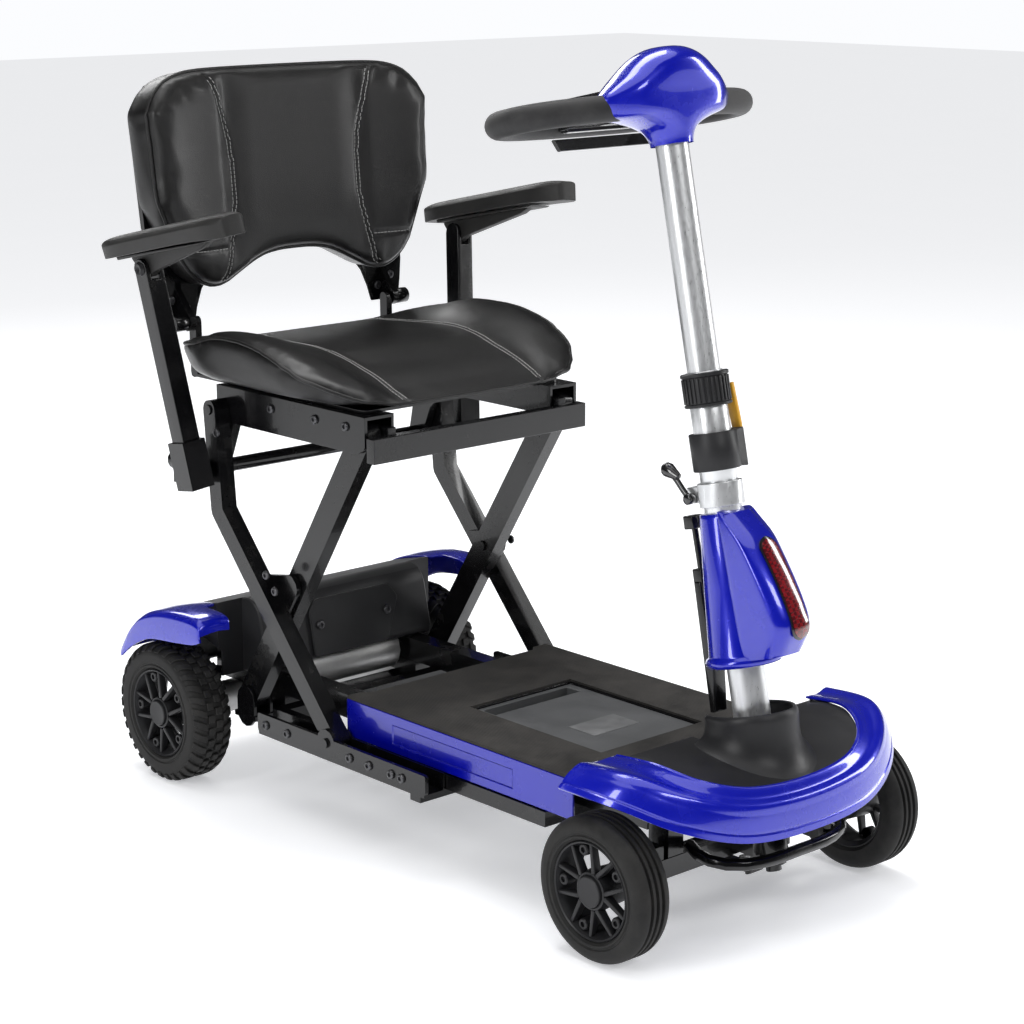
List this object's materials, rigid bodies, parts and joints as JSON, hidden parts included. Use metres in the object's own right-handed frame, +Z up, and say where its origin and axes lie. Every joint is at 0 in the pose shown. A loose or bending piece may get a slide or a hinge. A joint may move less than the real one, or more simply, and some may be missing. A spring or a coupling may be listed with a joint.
{
  "type": "folding mobility scooter",
  "caption": "Seated folding mobility scooter with small wheels, a flat foot deck, a scissor-lift padded seat and a telescopic tiller with a loop handlebar.",
  "frame": {"origin": "on the ground, at the centre of the footprint", "axes": "+Z up, -Y forwards, +X to the rider's left"},
  "size_m": [0.5734, 0.9896, 0.9376],
  "materials": {
    "frame_black": "gloss black powder coat",
    "blue_paint": "metallic blue lacquer",
    "black_plastic": "fine moulded grain",
    "gloss_black": "polished",
    "silver": "brushed and anodised",
    "tyre": "matt black solid tyre",
    "rim": "black moulded",
    "mat": "fine ribbed",
    "lid_grey": "fine grain",
    "leather": "soft grain with a low sheen",
    "lens_red": "clear over reflector cells",
    "yellow": "moulded",
    "grip": "matt soft touch"
  },
  "bodies": {
    "chassis": {"chassis_frame": "frame_black", "front_axle_beam": "frame_black", "rear_bracket": "frame_black", "deck_tray": "blue_paint", "deck_mat": "mat", "front_cover": "blue_paint", "front_panel": "black_plastic", "tiller_boot": "black_plastic", "front_bumper": "frame_black", "drive_cover": "black_plastic", "drive_cover_plate": "black_plastic", "fender_left": "blue_paint", "fender_right": "blue_paint", "drive_motor": "silver", "fold_actuator": "frame_black"},
    "battery": {"battery_pack": "lid_grey"},
    "wheel_front_left": {"front_left_tyre": "tyre", "front_left_rim": "rim"},
    "wheel_front_right": {"front_right_tyre": "tyre", "front_right_rim": "rim"},
    "wheel_rear_left": {"rear_left_tyre": "tyre", "rear_left_rim": "rim"},
    "wheel_rear_right": {"rear_right_tyre": "tyre", "rear_right_rim": "rim"},
    "inner_arms": {"inner_arm_left": "frame_black", "inner_arm_right": "frame_black"},
    "outer_arms": {"outer_arm_left": "frame_black", "outer_arm_right": "frame_black"},
    "side_carriage": {"carriage": "frame_black", "actuator_rod": "silver"},
    "seat_slider": {"front_slider": "frame_black"},
    "seat": {"seat_pan": "frame_black", "seat_rail_left": "frame_black", "seat_rail_right": "frame_black", "seat_cushion": "leather", "armrest_beam": "frame_black"},
    "armrest_post_l": {"armrest_post_left": "frame_black"},
    "armrest_post_r": {"armrest_post_right": "frame_black"},
    "armrest_l": {"armrest_pad_left": "black_plastic"},
    "armrest_r": {"armrest_pad_right": "black_plastic"},
    "backrest": {"backrest_frame": "frame_black", "backrest_cushion": "leather"},
    "steering": {"steering_column": "frame_black"},
    "track_rod": {"tie_rod": "frame_black"},
    "knuckle_l": {"knuckle_left": "frame_black"},
    "knuckle_r": {"knuckle_right": "frame_black"},
    "tiller": {"tiller_lower_tube": "silver", "tiller_cover": "blue_paint", "tiller_lens": "lens_red", "clamp_sleeve": "black_plastic", "height_collar": "black_plastic", "lock_bracket": "silver", "tiller_strut": "frame_black"},
    "tiller_top": {"tiller_upper_tube": "silver", "tiller_head": "blue_paint", "handlebar": "grip", "console": "gloss_black"},
    "clamp": {"clamp_lever": "yellow"},
    "lock": {"lock_lever": "gloss_black"},
    "throttle": {"throttle_lever": "gloss_black"}
  },
  "joints": [
    {"name": "battery_lift", "type": "slide", "parent": "chassis", "child": "battery", "axis": [0, 0, -1], "range_m": [-0.12, 0]},
    {"name": "seat_fold", "type": "hinge", "parent": "chassis", "child": "inner_arms", "pos_m": [0, 0.306, 0.117], "axis": [1, 0, 0], "range_deg": [0, 27]},
    {"name": "scissor_cross", "type": "hinge", "parent": "inner_arms", "child": "outer_arms", "pos_m": [0, 0.205, 0.283], "axis": [-1, 0, 0], "range_deg": [0, 54]},
    {"name": "carriage_level", "type": "hinge", "parent": "outer_arms", "child": "side_carriage", "pos_m": [0, 0.104, 0.117], "axis": [1, 0, 0], "range_deg": [0, 27]},
    {"name": "seat_level", "type": "hinge", "parent": "outer_arms", "child": "seat", "pos_m": [0, 0.333, 0.488], "axis": [1, 0, 0], "range_deg": [0, 27]},
    {"name": "slider_level", "type": "hinge", "parent": "inner_arms", "child": "seat_slider", "pos_m": [0, 0.077, 0.488], "axis": [-1, 0, 0], "range_deg": [0, 27]},
    {"name": "armrest_height_left", "type": "slide", "parent": "seat", "child": "armrest_post_l", "axis": [0.1119, 0.1495, 0.9824], "range_m": [0, 0.04]},
    {"name": "armrest_height_right", "type": "slide", "parent": "seat", "child": "armrest_post_r", "axis": [-0.1119, 0.1495, 0.9824], "range_m": [0, 0.04]},
    {"name": "armrest_flip_left", "type": "hinge", "parent": "armrest_post_l", "child": "armrest_l", "pos_m": [0.2473, 0.3692, 0.6654], "axis": [-0.9936, 0, 0.1132], "range_deg": [0, 70]},
    {"name": "armrest_flip_right", "type": "hinge", "parent": "armrest_post_r", "child": "armrest_r", "pos_m": [-0.2473, 0.3692, 0.6654], "axis": [-0.9936, 0, -0.1132], "range_deg": [0, 70]},
    {"name": "backrest_fold", "type": "hinge", "parent": "seat", "child": "backrest", "pos_m": [0, 0.41, 0.584], "axis": [1, 0, 0], "range_deg": [0, 70]},
    {"name": "steer", "type": "hinge", "parent": "chassis", "child": "steering", "pos_m": [0, -0.4052, 0.205], "axis": [0, 0.2147, 0.9767], "range_deg": [-25, 25]},
    {"name": "track_rod_slide", "type": "slide", "parent": "chassis", "child": "track_rod", "axis": [1, 0, 0], "range_m": [-0.0176, 0.0176]},
    {"name": "kingpin_left", "type": "hinge", "parent": "chassis", "child": "knuckle_l", "pos_m": [0.15, -0.379, 0.081], "axis": [0, 0, 1], "range_deg": [-25, 25]},
    {"name": "kingpin_right", "type": "hinge", "parent": "chassis", "child": "knuckle_r", "pos_m": [-0.15, -0.379, 0.081], "axis": [0, 0, 1], "range_deg": [-25, 25]},
    {"name": "spin_front_left", "type": "hinge", "parent": "knuckle_l", "child": "wheel_front_left", "pos_m": [0.203, -0.379, 0.081], "axis": [1, 0, 0], "continuous": true},
    {"name": "spin_front_right", "type": "hinge", "parent": "knuckle_r", "child": "wheel_front_right", "pos_m": [-0.203, -0.379, 0.081], "axis": [1, 0, 0], "continuous": true},
    {"name": "spin_rear_left", "type": "hinge", "parent": "chassis", "child": "wheel_rear_left", "pos_m": [0.206, 0.405, 0.09], "axis": [1, 0, 0], "continuous": true},
    {"name": "spin_rear_right", "type": "hinge", "parent": "chassis", "child": "wheel_rear_right", "pos_m": [-0.206, 0.405, 0.09], "axis": [1, 0, 0], "continuous": true},
    {"name": "tiller_fold", "type": "hinge", "parent": "steering", "child": "tiller", "pos_m": [0, -0.39186, 0.20514], "axis": [-1, 0, 0], "range_deg": [0, 32]},
    {"name": "tiller_height", "type": "slide", "parent": "tiller", "child": "tiller_top", "axis": [0, 0.2147, 0.9767], "range_m": [-0.12, 0]},
    {"name": "clamp_lever_turn", "type": "hinge", "parent": "tiller", "child": "clamp", "pos_m": [0.0335, -0.3434, 0.50472], "axis": [1, 0, 0], "range_deg": [0, 70]},
    {"name": "lock_lever_pull", "type": "hinge", "parent": "tiller", "child": "lock", "pos_m": [-0.013, -0.31249, 0.45902], "axis": [-1, 0, 0], "range_deg": [0, 25], "stiffness_Nm_per_rad": 0.4},
    {"name": "throttle_turn", "type": "hinge", "parent": "tiller_top", "child": "throttle", "pos_m": [0, -0.15401, 0.83987], "axis": [1, 0, 0], "range_deg": [-15, 15], "stiffness_Nm_per_rad": 0.4}
  ],
  "couplings": [
    {"joint": "scissor_cross", "follows": "seat_fold", "ratio": 2},
    {"joint": "carriage_level", "follows": "seat_fold", "ratio": 1},
    {"joint": "seat_level", "follows": "seat_fold", "ratio": 1},
    {"joint": "slider_level", "follows": "seat_fold", "ratio": 1},
    {"joint": "tiller_fold", "follows": "seat_fold", "ratio": 1.185},
    {"joint": "track_rod_slide", "follows": "steer", "m_per_rad": -0.04},
    {"joint": "kingpin_left", "follows": "steer", "ratio": 1},
    {"joint": "kingpin_right", "follows": "steer", "ratio": 1}
  ]
}
